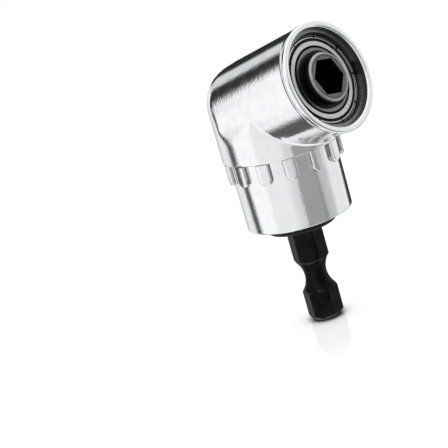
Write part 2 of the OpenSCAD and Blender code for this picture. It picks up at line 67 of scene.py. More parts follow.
# Axes
# The shank turns on the frame's Z axis. The socket's axis crosses it inside the head and
# leans 15 degrees up; the frame's joint socket_spin gives the crossing and that axis.
MM = 0.001
WELD, SLIVER = 2e-4 * MM, 1e-4 * MM
socket_spin = next(joint for joint in frame["joints"] if joint["name"] == "socket_spin")
crossing = np.array(socket_spin["pos_m"]) / MM
out_axis = np.array(socket_spin["axis"])
side_axis = np.array([0.0, 1.0, 0.0])
lift_axis = np.cross(out_axis, side_axis)
lift_axis *= np.sign(lift_axis[2])


def box_mm(node):
    """Lowest and highest corner of a CAD node, in millimetres."""
    low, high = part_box(node)
    return np.array(low) / MM, np.array(high) / MM


def points_mm(parts, name):
    """The place of every vertex or face of a mesh, as rows of millimetres."""
    places = np.empty(len(parts) * 3)
    parts.foreach_get(name, places)
    return places.reshape(-1, 3) / MM


def round_output(points):
    """Places along the output axis, and distances from it."""
    offset = points - crossing
    along = offset @ out_axis
    return along, np.linalg.norm(offset - along[:, None] * out_axis, axis=1)


def span_out(node):
    """Least and greatest place of a CAD node along the output axis, then its least and
    greatest distance from it."""
    along, radius = round_output(points_mm(frame["nodes"][node].data.vertices, "co"))
    return along.min(), along.max(), radius.min(), radius.max()


def on_shank_axis(radius, turn, height):
    """Points at a radius, an angle from +X and a height on the shank's axis."""
    radius, turn, height = np.broadcast_arrays(radius, turn, height)
    return np.stack([radius * np.cos(turn), radius * np.sin(turn), height], axis=-1)


def on_output_axis(radius, turn, along):
    """Points at a radius, an angle from straight up towards +Y, and a distance from the
    crossing on the output axis."""
    radius, turn, along = np.broadcast_arrays(radius, turn, along)
    lift, side = radius * np.cos(turn), radius * np.sin(turn)
    across = lift[..., None] * lift_axis + side[..., None] * side_axis
    return crossing + across + along[..., None] * out_axis


def full_turn(steps):
    """Angles of one turn, the last short of the first."""
    return np.linspace(0, 2 * np.pi, steps, endpoint=False)


def behind(face, corners):
    """Corners of (radius, distance behind a face) as (radius, place on the axis)."""
    return [(radius, face - depth) for radius, depth in corners]


def rounded(corners, bend_r, steps=5):
    """Profile whose inner corners are bent: each becomes a quadratic curve between two
    points at the distance bend_r from it, or at just under half of a shorter side."""
    side_part = 2.2
    corners = np.asarray(corners, float)
    points = [corners[0]]
    share = np.linspace(0, 1, steps)[:, None]
    for before, corner, after in zip(corners[:-2], corners[1:-1], corners[2:]):
        to_before, to_after = before - corner, after - corner
        length_before, length_after = np.linalg.norm(to_before), np.linalg.norm(to_after)
        reach = min(bend_r, length_before / side_part, length_after / side_part)
        start = corner + to_before / length_before * reach
        end = corner + to_after / length_after * reach
        pull = 2 * share * (1 - share)
        points.extend((1 - share) ** 2 * start + pull * corner + share ** 2 * end)
    points.append(corners[-1])
    return np.array(points)


def turned(profile, steps, place):
    """Surface of a profile of (radius, distance) points carried round an axis by place()."""
    profile = np.asarray(profile, float)
    return place(profile[:, :1], full_turn(steps), profile[:, 1:])


def grid_quads(rows, columns):
    """Quads of a grid of points whose last column joins the first, as index arrays."""
    row = np.arange(rows - 1)[:, None] * columns
    column = np.arange(columns)
    following = (column + 1) % columns
    next_row = row + columns
    corners = [row + column, row + following, next_row + following, next_row + column]
    return np.stack(corners, -1).reshape(-1, 4)


def make_piece(name, grids, crease=35):
    """Mesh object of one or more grids of points, each turned so that it faces outwards.
    Edges that bend by more than crease degrees stay sharp."""
    corner_sets, quad_sets, first = [], [], 0
    for grid in grids:
        corners = grid.reshape(-1, 3)
        quads = grid_quads(*grid.shape[:2])
        a, b, c, d = (corners[quads[:, k]] - corners.mean(0) for k in range(4))
        volume = (a * (np.cross(b, c) + np.cross(c, d))).sum()
        if volume < 0:
            quads = quads[:, ::-1]
        corner_sets.append(corners * MM)
        quad_sets.append(quads + first)
        first += len(corners)
    mesh = bpy.data.meshes.new(name)
    mesh.from_pydata(np.concatenate(corner_sets), [], np.concatenate(quad_sets).tolist())
    work = bmesh.new()
    work.from_mesh(mesh)
    bmesh.ops.remove_doubles(work, verts=work.verts, dist=WELD)
    bmesh.ops.dissolve_degenerate(work, edges=work.edges, dist=SLIVER)
    work.to_mesh(mesh)
    work.free()
    mesh.shade_smooth()
    mesh.set_sharp_from_angle(angle=math.radians(crease))
    piece = bpy.data.objects.new(name, mesh)
    bpy.context.scene.collection.objects.link(piece)
    return piece


class Field:
    """An output of a node. Sums and products written with it add the math nodes."""

    def __init__(self, maker, socket):
        self.maker = maker
        self.socket = socket

    def _math(self, operation, first, second=None):
        return self.maker.node("Math", {"operation": operation}, {0: first, 1: second})

    def __add__(self, other):
        return self._math("ADD", self, other)

    def __sub__(self, other):
        return self._math("SUBTRACT", self, other)

    def __mul__(self, other):
        return self._math("MULTIPLY", self, other)

    def __rsub__(self, other):
        return self._math("SUBTRACT", other, self)

    __radd__ = __add__
    __rmul__ = __mul__

    def absolute(self):
        return self._math("ABSOLUTE", self)

    def smooth(self, low, high):
        """0 below low, 1 above high and an S curve between."""
        settings = {"interpolation_type": "SMOOTHSTEP"}
        inputs = {"Value": self, "From Min": low, "From Max": high}
        return self.maker.node("MapRange", settings, inputs)


class Maker:
    """Adds nodes to a material or a world."""

    def __init__(self, tree):
        self.tree = tree
        tree.nodes.clear()

    def node(self, kind, settings=None, inputs=None, output=0):
        """Adds one node: its settings first, then the values or links of its sockets."""
        made = self.tree.nodes.new("ShaderNode" + kind)
        for key, value in (settings or {}).items():
            setattr(made, key, value)
        for key, value in (inputs or {}).items():
            if isinstance(value, Field):
                self.tree.links.new(value.socket, made.inputs[key])
            elif value is not None:
                made.inputs[key].default_value = value
        return Field(self, made.outputs[output])

    def mix(self, share, first, second):
        """Colour between two colours: inputs 6 and 7 and output 2 are the node's colours."""
        settings = {"data_type": "RGBA"}
        return self.node("Mix", settings, {0: share, 6: first, 7: second}, output=2)

    def place(self):
        """The piece's own coordinates, in metres."""
        return self.node("TexCoord", output="Object")

    def stored(self, name):
        """A number that the piece stores at its points."""
        return self.node("Attribute", {"attribute_name": name}, output="Fac")

    def vector(self, operation, first, second=None, output="Vector"):
        """One vector math node. Where its result is a number, the output is Value."""
        inputs = {0: first, 1: second}
        return self.node("VectorMath", {"operation": operation}, inputs, output)

    def length_mm(self, vector):
        """Length of a vector, in millimetres."""
        return self.vector("LENGTH", vector, output="Value") * (1 / MM)

    def finish(self, shader):
        """Joins a shader to the output."""
        is_world = isinstance(self.tree.id_data, bpy.types.World)
        made = self.tree.nodes.new("ShaderNodeOutput" + ("World" if is_world else "Material"))
        self.tree.links.new(shader.socket, made.inputs["Surface"])

    def surface(self, inputs):
        """Makes the whole look of a material from these inputs."""
        self.finish(self.node("BsdfPrincipled", None, inputs))


def new_material(name):
    """An empty material and the maker of its nodes."""
    material = bpy.data.materials.new(name)
    material.use_nodes = True
    return material, Maker(material.node_tree)


def grey(level):
    """Colour of a shade from 0 to 1."""
    return (level, level, level, 1.0)


def noise(maker, scale, detail):
    """Noise on the piece's own coordinates, with a scale in cycles for each millimetre."""
    inputs = {"Vector": maker.place(), "Scale": (1 / MM, 1 / MM, 1 / MM)}
    spot = maker.node("Mapping", None, inputs)
    return maker.node("TexNoise", None, {"Vector": spot, "Scale": scale, "Detail": detail})


def bump(maker, height, strength, depth_mm):
    """Normal of a height field of that depth."""
    inputs = {"Height": height, "Strength": strength, "Distance": depth_mm * MM}
    return maker.node("Bump", None, inputs)


# Head
# A zinc casting with bright plating: a round skirt that flattens upwards into two cheeks,
# a domed back and a short barrel with a raised rim. The sleeve screws into it.
HEAD_COLUMNS = 360
# rows of the skin in front of the flat underside, on it and behind it
SIDE_ROWS, FLOOR_ROWS, BACK_ROWS = 118, 12, 98
SIDE_CROWDING, BACK_CROWDING = 1.45, 1.35
UNDERSIDE_STEPS = 1200
# nearest and farthest place of the skin on a ray, and how often that span is halved
RAY_START, RAY_END, HALVINGS = 4.0, 30.0, 34
BARREL_R, BARREL_START = 10.55, -2
RIM_R, RIM_W, RIM_CHAMFER, RIM_STEP, RIM_BEND = 10.75, 1.1, 0.25, 0.2, 0.14
MOUTH_DEPTH, MOUTH_CHAMFER_H, MOUTH_CHAMFER_W = 7.2, 0.32, 0.3
DOME_RISE, DOME_R = 1.65, 8.2
CHEEK_SPREAD, BOX_MARGIN = 0.42, 0.02
# widths of the rounded edges: the cheeks' at the output axis, what each millimetre below
# it adds, what each millimetre above it adds up to that height, the skirt's, the
# fillet's, and what is left of the fillet where it has faded out
CHEEK_EDGE, EDGE_BELOW, EDGE_ABOVE, EDGE_ABOVE_H = 0.24, 0.05, 0.09, 4
SKIRT_EDGE, FILLET_EDGE, LEAST_EDGE = 0.3, 0.45, 1e-6
# degrees round the barrel, from its top, where the fillet starts and how long it grows
FILLET_START, FILLET_GROWTH = 98, 26
BORED_FROM, BORED_SLACK = 5, 0.02
# grey of the painted shade on the lugs' flanks, which stands in for dark reflections
LUG_SHADE_GREY = 0.16

head_low = box_mm("head_housing")[0]
skirt_z = head_low[2]
skirt_r = -head_low[0]
skirt_half = min(skirt_r, cad_box[1][1] / MM - BOX_MARGIN)
rim_face = span_out("head_housing")[1]
mouth_r = span_out("nose_outer_ring")[3]
dome_z = crossing[2] + DOME_RISE


def soft_max(first, second, blend):
    """The larger of two distances, rounded over where they differ by less than blend."""
    reach = np.maximum(blend - np.abs(first - second), 0)
    return np.maximum(first, second) + reach ** 2 / (4 * blend)


def soft_min(first, second, blend):
    """The smaller of two distances, rounded over in the same way."""
    return -soft_max(-first, -second, blend)


def head_distance(points):
    """Distance to the casting: a domed cylinder cut by a round top and by cheeks that draw
    apart downwards, until the skirt is round. A fillet joins it with the barrel and fades
    out where the barrel runs into the cheeks."""
    x, y, z = points[..., 0], points[..., 1], points[..., 2]
    offset = points - crossing
    along = offset @ out_axis
    lift = offset @ lift_axis
    below = np.maximum(-lift, 0)
    cheek = BARREL_R + CHEEK_SPREAD * below ** 2 / (below + 1)
    radius = np.hypot(x, y * skirt_r / skirt_half)
    over_flat = np.maximum(radius - (skirt_r - DOME_R), 0)
    dome = np.where(z > dome_z, np.hypot(over_flat, z - dome_z) - DOME_R, radius - skirt_r)
    round_r = np.hypot(y, lift)
    outline = np.where(lift >= 0, round_r - BARREL_R, np.abs(y) - cheek)
    edge = CHEEK_EDGE + EDGE_BELOW * below + EDGE_ABOVE * np.clip(lift, 0, EDGE_ABOVE_H)
    elbow = soft_max(soft_max(dome, outline, edge), skirt_z - z, SKIRT_EDGE)
    barrel = np.maximum(round_r - BARREL_R, BARREL_START - along)
    past_start = np.degrees(np.arctan2(np.abs(y), lift)) - FILLET_START
    share = np.clip(past_start / FILLET_GROWTH, 0, 1)
    fillet = FILLET_EDGE * share * share * (3 - 2 * share) + LEAST_EDGE
    return soft_min(elbow, barrel, fillet)


def head_rows(turn):
    """Angles from the output axis for every row of every column: rows crowd to the edge of
    the flat underside, where a column enters and leaves it."""
    edge = np.linspace(0, math.pi, UNDERSIDE_STEPS)
    x, y = skirt_r * np.cos(edge), skirt_half * np.sin(edge)
    offset = np.stack([x, y, 0 * x + skirt_z], axis=-1) - crossing
    lift = offset @ lift_axis
    around = np.arctan2(y, lift)
    polar = np.arctan2(np.hypot(y, lift), offset @ out_axis)
    turnback = int(np.argmin(around))
    column = np.abs(np.mod(turn + np.pi, 2 * np.pi) - np.pi)
    enter = np.interp(column, around[turnback::-1], polar[turnback::-1])
    leave = np.maximum(enter, np.interp(column, around[turnback:], polar[turnback:]))
    start = math.atan2(BARREL_R, rim_face - RIM_W)
    side = 1 - (1 - np.linspace(0, 1, SIDE_ROWS)[:, None]) ** SIDE_CROWDING
    flat = np.linspace(0, 1, FLOOR_ROWS + 2)[1:-1, None]
    back = np.linspace(0, 1, BACK_ROWS)[:, None] ** BACK_CROWDING
    return np.concatenate([start + (enter - start) * side, enter + (leave - enter) * flat,
                           leave + (math.pi - leave) * back])


def head_skin():
    """Outer skin: along each ray from the crossing of the axes, the distance is halved down
    to the surface. Both bodies of the head hold that point, so a ray leaves the skin once."""
    turn = full_turn(HEAD_COLUMNS)
    polar = head_rows(turn[None, :])
    ray = on_output_axis(np.sin(polar), turn, np.cos(polar)) - crossing
    near, far = np.full(polar.shape, RAY_START), np.full(polar.shape, RAY_END)
    for _ in range(HALVINGS):
        middle = (near + far) / 2
        inside = head_distance(crossing + ray * middle[..., None]) < 0
        near, far = np.where(inside, middle, near), np.where(inside, far, middle)
    return crossing + ray * near[..., None]


def plated():
    """Bright plating: a slow swell and a grain that frays the edges of what it mirrors, and
    a painted shade on the lugs' flanks: a darker grey, stored at the points, that stands in for
    dark reflections."""
    material, maker = new_material("plated_casting")
    swell = noise(maker, 0.2, 1.0)
    grain = noise(maker, 1.9, 1.5)
    haze = noise(maker, 0.5, 5.0)
    # painted shade stored on the lugs' flanks, mixed into the colour below
    lug_shade = maker.stored("lug_shade")
    bright = maker.mix(haze.smooth(0.4, 0.75), (0.95, 0.953, 0.96, 1), (0.9, 0.907, 0.92, 1))
    maker.surface({
        "Base Color": maker.mix(lug_shade, bright, grey(LUG_SHADE_GREY)), "Metallic": 1.0,
        "Roughness": 0.08 + haze * 0.08, "Normal": bump(maker, swell + grain * 0.8, 0.3, 0.06)})
    return material


def shaded_bore_metal():
    """Bored metal for the wall of the mouth, made far darker than bare metal as a painted shade.
    """
    material, maker = new_material("bore_painted_shade")
    rings = noise(maker, 1.6, 3.0)
    maker.surface({
        "Base Color": maker.mix(rings, grey(0.07), grey(0.17)), "Metallic": 0.9,
        "Roughness": 0.32 + rings * 0.12})
    return material


def line_bore(piece, lining, bore_r, low=-math.inf, high=math.inf):
    """Gives a second material to the faces within a radius of the output axis and between
    two places on it."""
    along, radius = round_output(points_mm(piece.data.polygons, "center"))
    inside = (along > low) & (along < high) & (radius < bore_r)
    piece.data.materials.append(lining)
    piece.data.polygons.foreach_set("material_index", inside.astype(np.int32))


mouth_profile = rounded(behind(rim_face, [
    (0, MOUTH_DEPTH), (mouth_r, MOUTH_DEPTH), (mouth_r, MOUTH_CHAMFER_H),
    (mouth_r + MOUTH_CHAMFER_W, 0), (RIM_R - RIM_CHAMFER, 0), (RIM_R, RIM_CHAMFER),
    (RIM_R, RIM_W - RIM_STEP), (BARREL_R, RIM_W)]), RIM_BEND)
mouth = turned(mouth_profile, HEAD_COLUMNS, on_output_axis)
head = make_piece("head_casting", [np.concatenate([mouth, head_skin()[1:]])], crease=48)
chrome = plated()
head.data.materials.append(chrome)
line_bore(head, shaded_bore_metal(), mouth_r + BORED_SLACK, low=BORED_FROM)
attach(head, "housing")
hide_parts("head_housing")

# Sleeve
# A turned steel sleeve with the same plating. Its 13 round-ended lugs lock it in a
# drill's nose; the spigot above them screws into the head.
SLEEVE_STEPS, SLEEVE_R, SLEEVE_BEND = 256, 10.5, 0.32
# the profile starts and ends on the bore, this far below the skirt's edge
BORE_R, BORE_START = 8, 1
RECESS_R, RECESS_H = 9.14, 1.1
SPIGOT_R, SPIGOT_H = 9.4, 1.7
LUG_COUNT, LUG_W, LUG_H = 13, 2.6, 4.15
LUG_END_STEPS, LUG_SIDE_STEPS = 25, 9
SHOULDER_GAP, LUG_GAP, LUG_ROOT = 0.02, 0.05, 0.15
# share of the way to a lug's middle line, and share of its height reached there
LUG_SHARE = np.array([-.1, -.09, -.05, -.01, .02, .06, .12, .2, .32, .5, .75, 1])
LUG_RISE = np.array([0, .14, .3, .5, .72, .87, .95, .985, 1, 1, 1, 1])
# shares of a lug's height between which its flank holds the painted shade, which is full at
# # the foot and falls off upwards
LUG_SHADE_LOW, LUG_SHADE_HIGH, LUG_SHADE_FOOT, LUG_SHADE_FALL = 0.04, 0.8, 1.15, 1.3

sleeve_low, sleeve_high = box_mm("grip_sleeve")
sleeve_z = sleeve_low[2]
lug_r = sleeve_high[1]


def lug_path():
    """Outline of a lug as (across, up) points, once round: a straight top, straight sides
    and a round lower end. Its second result is the line that the outline shrinks to."""
    half = LUG_W / 2
    arc = np.linspace(0, -np.pi, LUG_END_STEPS)
    side = np.linspace(LUG_H, half, LUG_SIDE_STEPS)[:-1]
    top = np.linspace(-half, half, LUG_SIDE_STEPS)[:-1]
    across = np.concatenate([top, 0 * side + half, half * np.cos(arc), 0 * side - half])
    up = np.concatenate([0 * top + LUG_H, side, half + half * np.sin(arc), side[::-1]])
    return np.stack([across, up], -1), np.stack([0 * across, np.maximum(up, half)], -1)


def lug_surface(turn):
    """A lug as a grid: its outline, a little wider at the foot, shrinks to its middle line
    while the radius rises."""
    outline, middle = lug_path()
    share = LUG_SHARE[:, None, None]
    across, up = np.moveaxis((1 - share) * outline + share * middle, -1, 0)
    root_r = SLEEVE_R - LUG_ROOT
    radius = root_r + (lug_r - root_r) * LUG_RISE[:, None]
    out = np.sqrt(radius ** 2 - across ** 2)
    x = out * math.cos(turn) - across * math.sin(turn)
    y = out * math.sin(turn) + across * math.cos(turn)
    return np.stack([x, y, skirt_z - LUG_GAP - LUG_H + up], -1)


def keep_value(piece, name, values):
    """Stores a number for each point of a piece, for its material to read."""
    layer = piece.data.attributes.new(name, "FLOAT", "POINT")
    layer.data.foreach_set("value", np.asarray(values, np.float32).ravel())


shoulder_z = skirt_z - SHOULDER_GAP
sleeve_profile = rounded([
    (BORE_R, skirt_z - BORE_START), (BORE_R, sleeve_z + RECESS_H), (RECESS_R, sleeve_z + RECESS_H),
    (RECESS_R, sleeve_z), (SLEEVE_R, sleeve_z), (SLEEVE_R, shoulder_z), (SPIGOT_R, shoulder_z),
    (SPIGOT_R, skirt_z + SPIGOT_H), (BORE_R, skirt_z + SPIGOT_H), (BORE_R, skirt_z - BORE_START)],
    SLEEVE_BEND, steps=7)
lugs = [lug_surface(math.pi + k * 2 * math.pi / LUG_COUNT) for k in range(LUG_COUNT)]
sleeve = make_piece("lugged_sleeve", [turned(sleeve_profile, SLEEVE_STEPS, on_shank_axis)] + lugs)
sleeve.data.materials.append(chrome)
x, y, z = points_mm(sleeve.data.vertices, "co").T
stand = (np.hypot(x, y) - SLEEVE_R) / (lug_r - SLEEVE_R)
# painted shade: a darker grey on the lugs' flanks, in place of their dark reflections
flank = (stand > LUG_SHADE_LOW) & (stand < LUG_SHADE_HIGH)
keep_value(sleeve, "lug_shade", np.where(flank, np.clip(LUG_SHADE_FOOT - stand * LUG_SHADE_FALL, 0, 1), 0))
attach(sleeve, "housing")
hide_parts("grip_sleeve")

# Shank
# One bar of hardened steel with a black oxide finish. Its hexagon is 6.35 mm across the
# flats with a ground detent neck; the round part above runs in the sleeve's bearings.
SHANK_STEPS = 252
SHANK_FLATS, SHANK_TURN, CORNER_CUT = 6.35, math.radians(34.4), 0.1
TIP_R, TIP_H = 2.55, 1.1
NECK_Z, NECK_R, NECK_CURVE = 9.3, 2.225, 4.9
CORNER_BEND, NECK_BEND = 0.12, 0.06
CUT_WEAR_W, CORNER_WEAR_W, CORNER_WEAR = 0.1, 0.09, 0.45
# least height, greatest height and number of the rows of the hexagon, in four runs
HEIGHT_RUNS = [(0.02, 1.6, 26), (1.7, 5.6, 22), (5.65, 12.95, 92), (13.1, 24.6, 34)]
# radius and height of the tip's corners and of the round shaft's, bottom to top
TIP_CORNERS = [(0, 0), (1.2, 0), (TIP_R - 0.16, 0), (TIP_R - 0.04, 0.03)]
SHAFT_CORNERS = [(3.4, 24.6), (4.9, 24.75), (4.9, 25.9), (4, 25.9), (4, 35.1), (2.9, 35.1),
                 (2.9, 38.6), (0, 38.6)]


def black_oxide():
    """Cloudy black finish, rubbed paler where the piece stores wear."""
    material, maker = new_material("black_oxide")
    cloud = noise(maker, 0.55, 4.0)
    grain = noise(maker, 6.0, 3.0)
    wear = maker.stored("wear")
    patches = cloud.smooth(0.3, 0.7)
    rub = (wear * (patches * 0.7 + 0.3)).smooth(0.3, 1.0)
    black = maker.mix(patches, grey(0.007), grey(0.014))
    maker.surface({
        "Base Color": maker.mix(rub, black, grey(0.1)), "Metallic": 1.0,
        "Specular Tint": grey(0.8), "Roughness": 0.3 + cloud * 0.16 - rub * 0.06,
        "Normal": bump(maker, grain, 0.3, 0.012)})
    return material


def hexagon_radius(flats, start, turn):
    """Radius of a hexagon of that width across its flats, with a corner at the angle start."""
    from_flat = np.mod(turn - start, math.pi / 3) - math.pi / 6
    return flats / 2 / np.cos(from_flat)


def shank_radius(turn, height):
    """Radius of the bar: the least of the hexagon, the tip's chamfer and the neck's curve,
    with edges rounded by a few hundredths. Its second result is 1 on the edges of the
    chamfer and the neck, less on the hexagon's corners, and 0 on the flats."""
    corner = SHANK_FLATS / 2 / math.cos(math.pi / 6)
    blunt = corner - CORNER_CUT
    hexagon = soft_min(hexagon_radius(SHANK_FLATS, SHANK_TURN, turn), blunt, CORNER_BEND)
    chamfer = TIP_R + (corner - TIP_R) * np.maximum(height, 0) / TIP_H
    reach = np.clip(NECK_CURVE ** 2 - (height - NECK_Z) ** 2, 0, None)
    neck = NECK_R + NECK_CURVE - np.sqrt(reach)
    other = np.minimum(chamfer, neck)
    on_cut = np.exp(-(np.abs(hexagon - other) / CUT_WEAR_W) ** 2)
    on_corner = CORNER_WEAR * np.exp(-((blunt - hexagon) / CORNER_WEAR_W) ** 2)
    on_corner = on_corner * (hexagon < other)
    return soft_min(hexagon, other, NECK_BEND), np.maximum(on_cut, on_corner)


heights = np.concatenate([np.linspace(*run) for run in HEIGHT_RUNS])
turns = full_turn(SHANK_STEPS)
radius = shank_radius(turns[None, :], heights[:, None])[0]
bar = on_shank_axis(radius, turns, heights[:, None])
tip = turned(TIP_CORNERS, SHANK_STEPS, on_shank_axis)
shaft = turned(SHAFT_CORNERS, SHANK_STEPS, on_shank_axis)
shank = make_piece("hexagonal_shank", [np.concatenate([tip, bar, shaft])], crease=30)
shank.data.materials.append(black_oxide())
x, y, z = points_mm(shank.data.vertices, "co").T
wear = shank_radius(np.arctan2(y, x), z)[1]
keep_value(shank, "wear", np.where(z < heights[-1], wear, 0))
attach(shank, "input_drive")
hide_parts("input_shaft")

# Mouth
# What shows in the mouth: a ball bearing's pressed shield and inner ring, the snap ring
# that holds the bearing, and the turned socket with its hexagonal hole.
SHIELD_STEPS, SHIELD_BEND = 720, 0.09
NOTCHES, NOTCH_TURN = 9, math.radians(20)
NOTCH_W, NOTCH_D, NOTCH_MIDDLE_R, NOTCH_INNER_R = 0.34, 0.34, 8.3, 7.93
SOCKET_STEPS, SOCKET_BEND = 240, 0.1
HEX_FLATS, HEX_TURN = 6.5, math.radians(42)
HOLE_WALL_R, HOLE_WALL_DEPTH = 3.82, 0.12
# share of the hexagon in the radius, extra radius, and distance behind the socket's face
HOLE_ROWS = np.array([(0, 0, 10), (1, 0, 10), (1, 0, 0.16), (1, 0.05, 0.1), (1, 0.1, 0.07),
                      (0.4, 2.36, 0.05), (0, 3.98, 0.05)])


def axis_distance(maker):
    """Distance from the output axis, in millimetres, at the point seen."""
    offset = maker.vector("SUBTRACT", maker.place(), tuple(crossing * MM))
    across = maker.vector("CROSS_PRODUCT", offset, tuple(out_axis))
    return maker.length_mm(across)


def band(value, low, high, soft=0.06):
    """1 between two values and 0 outside them."""
    return value.smooth(low - soft, low + soft) * (1 - value.smooth(high - soft, high + soft))


def ring_tone_and_painted_light(name, bands, base, rough):
    """Metal of a base shade, with bands of (least radius, greatest radius, shade) round the
    output axis: painted light, where a near-black base is a painted shade and the bands are
    painted highlights."""
    material, maker = new_material(name)
    radius = axis_distance(maker)
    cloud = noise(maker, 1.3, 4.0)
    level = base
    for low, high, shade in bands:
        level = level + band(radius, low, high) * (shade - base)
    level = level * (0.65 + cloud * 0.7)
    maker.surface({
        "Base Color": maker.mix(level, grey(0.0), grey(1.0)), "Metallic": 1.0,
        "Roughness": rough + cloud * 0.1})
    return material


def dress(node, material):
    """Gives a CAD node a material of its own."""
    slots = frame["nodes"][node].data.materials
    slots.clear()
    slots.append(material)


shield_near, shield_face, shield_in, shield_out = span_out("nose_front_shield")
shield_w = shield_face - shield_near
shield_profile = rounded(behind(shield_face, [
    (shield_in, shield_w), (shield_in, 0.02), (7.5, 0.02), (7.6, 0.3), (7.9, 0.3), (7.96, 0.1),
    (8.14, 0), (8.32, 0.12), (8.42, 0.2), (8.52, 0.04), (shield_out, 0.12),
    (shield_out, shield_w), (shield_in, shield_w)]), SHIELD_BEND, steps=4)
pitch = 2 * math.pi / NOTCHES
from_notch = np.abs(np.mod(full_turn(SHIELD_STEPS) + pitch / 2 - NOTCH_TURN, pitch) - pitch / 2)
in_notch = ((from_notch[None, :] * NOTCH_MIDDLE_R < NOTCH_W / 2)
            & (shield_profile[:, :1] > NOTCH_INNER_R))
sunk = np.where(in_notch, np.minimum(0, shield_face - NOTCH_D - shield_profile[:, 1:]), 0)
shield_points = turned(shield_profile, SHIELD_STEPS, on_output_axis) + sunk[..., None] * out_axis
shield = make_piece("front_shield", [shield_points])
# painted light: a near-black base as painted shade in the grooves, bright bands as painted
# highlights on the shield's face and crest
shield.data.materials.append(ring_tone_and_painted_light("shield_steel", [
    (6.62, 7.46, 0.62), (8.06, 8.24, 0.85), (8.48, 8.58, 0.5)], 0.02, 0.2))
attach(shield, "housing")
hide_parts("nose_front_shield")

socket_tail, socket_face = span_out("output_socket")[:2]
turns = full_turn(SOCKET_STEPS)
hexagon = hexagon_radius(HEX_FLATS, HEX_TURN, turns)[None, :]
hole_radius = HOLE_ROWS[:, :1] * hexagon + HOLE_ROWS[:, 1:2]
hole = on_output_axis(hole_radius, turns, socket_face - HOLE_ROWS[:, 2:])
# the rolled rim round the hole, then the collar and the tail, placed from the crossing
socket_profile = rounded(behind(socket_face, [
    (3.99, 0.05), (4.05, 0.13), (4.14, 0.01), (4.5, 0), (4.86, 0.3)]) + [
    (4.88, 15.4), (5, 15.35), (5, 10.2), (3.9, 10.2), (3.9, socket_tail), (0, socket_tail)],
    SOCKET_BEND, steps=4)
outside = turned(socket_profile, SOCKET_STEPS, on_output_axis)
socket = make_piece("bit_socket", [np.concatenate([hole, outside])])
# painted light: a dark base as painted shade, lighter bands as painted highlights on the rolled
# rim and collar
socket.data.materials.append(ring_tone_and_painted_light("socket_steel", [
    (3.2, 3.98, 0.17), (4.08, 4.35, 0.22), (4.35, 4.75, 0.46)], 0.045, 0.26))
# painted shade: the wall of the hexagonal hole is near black
line_bore(socket, ring_tone_and_painted_light("hole_painted_shade", [], 0.012, 0.4), HOLE_WALL_R,
          high=socket_face - HOLE_WALL_DEPTH)
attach(socket, "output_drive")
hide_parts("output_socket")

# painted light: the bearing's inner and outer rings are far darker than bare steel as painted
# shade, and the inner ring's band is a painted highlight
dress("nose_inner_ring", ring_tone_and_painted_light("inner_ring", [(5.3, 6.14, 0.24)], 0.012, 0.22))
dress("nose_outer_ring", ring_tone_and_painted_light("outer_ring", [], 0.05, 0.3))
dress("nose_snap_ring", ring_tone_and_painted_light("snap_ring", [], 0.27, 0.34))
dress("socket_ring", ring_tone_and_painted_light("socket_ring", [], 0.02, 0.35))

# Dust cap
# A black moulded disc pressed into the sleeve's lower end, round the shank.


def moulded(name, low, high):
    """Moulded plastic between two greys, with a fine spark-eroded grain."""
    material, maker = new_material(name)
    grain = noise(maker, 5.0, 3.0)
    cloud = noise(maker, 0.4, 3.0)
    maker.surface({
        "Base Color": maker.mix(cloud, grey(low), grey(high)), "Specular IOR Level": 0.25,
        "Roughness": 0.42 + grain * 0.2, "Normal": bump(maker, grain, 0.3, 0.02)})
    return material


dress("dust_cap", moulded("black_plastic", 0.003, 0.007))

# Working parts
# What the head holds out of sight: hardened gears, ball bearings with brass cages,
# spacers, shims and rings of plain steel, a sintered bronze bush and a plated magnet.
INNER_METALS = [
    # name, dark tone, light tone, roughness, cycles of cloud for each millimetre, nodes
    ("gear_steel", (0.2, 0.2, 0.21), (0.32, 0.32, 0.33), 0.26, 1.5,
     ["input_gear", "output_gear"]),
    ("ring_steel", (0.42, 0.42, 0.43), (0.55, 0.55, 0.56), 0.12, 1.5,
     ["lower_outer_ring", "lower_inner_ring", "upper_outer_ring", "upper_inner_ring"]),
    ("ball_steel", (0.6, 0.6, 0.61), (0.7, 0.7, 0.71), 0.03, 1.5,
     ["lower_balls", "upper_balls", "nose_balls"]),
    ("cage_brass", (0.55, 0.38, 0.14), (0.68, 0.5, 0.22), 0.22, 1.5,
     ["lower_cage", "upper_cage", "nose_cage"]),
    ("pressed_steel", (0.35, 0.35, 0.36), (0.5, 0.5, 0.5), 0.2, 1.5,
     ["lower_shields", "upper_shields", "nose_rear_shield"]),
    ("turned_steel", (0.3, 0.3, 0.3), (0.42, 0.42, 0.42), 0.24, 1.5,
     ["outer_spacer", "inner_spacer", "input_shim", "output_shim"]),
    ("spring_steel", (0.03, 0.03, 0.035), (0.08, 0.08, 0.085), 0.26, 1.5,
     ["sleeve_snap_ring", "input_gear_ring"]),
    ("sintered_bronze", (0.3, 0.17, 0.08), (0.44, 0.27, 0.13), 0.4, 3.0,
     ["output_bush"]),
    ("nickel_plate", (0.5, 0.48, 0.44), (0.62, 0.6, 0.56), 0.1, 1.5,
     ["bit_magnet"]),
]


def metal(name, dark, light, rough, scale):
    """Bare metal whose shade and polish drift between two tones."""
    material, maker = new_material(name)
    cloud = noise(maker, scale, 4.0)
    grain = noise(maker, scale * 6, 2.0)
    maker.surface({
        "Base Color": maker.mix(cloud.smooth(0.3, 0.7), (*dark, 1), (*light, 1)),
        "Metallic": 1.0, "Roughness": rough + grain * 0.14,
        "Normal": bump(maker, grain, 0.2, 0.01)})
    return material


for *recipe, nodes in INNER_METALS:
    finish = metal(*recipe)
    for node in nodes:
        dress(node, finish)

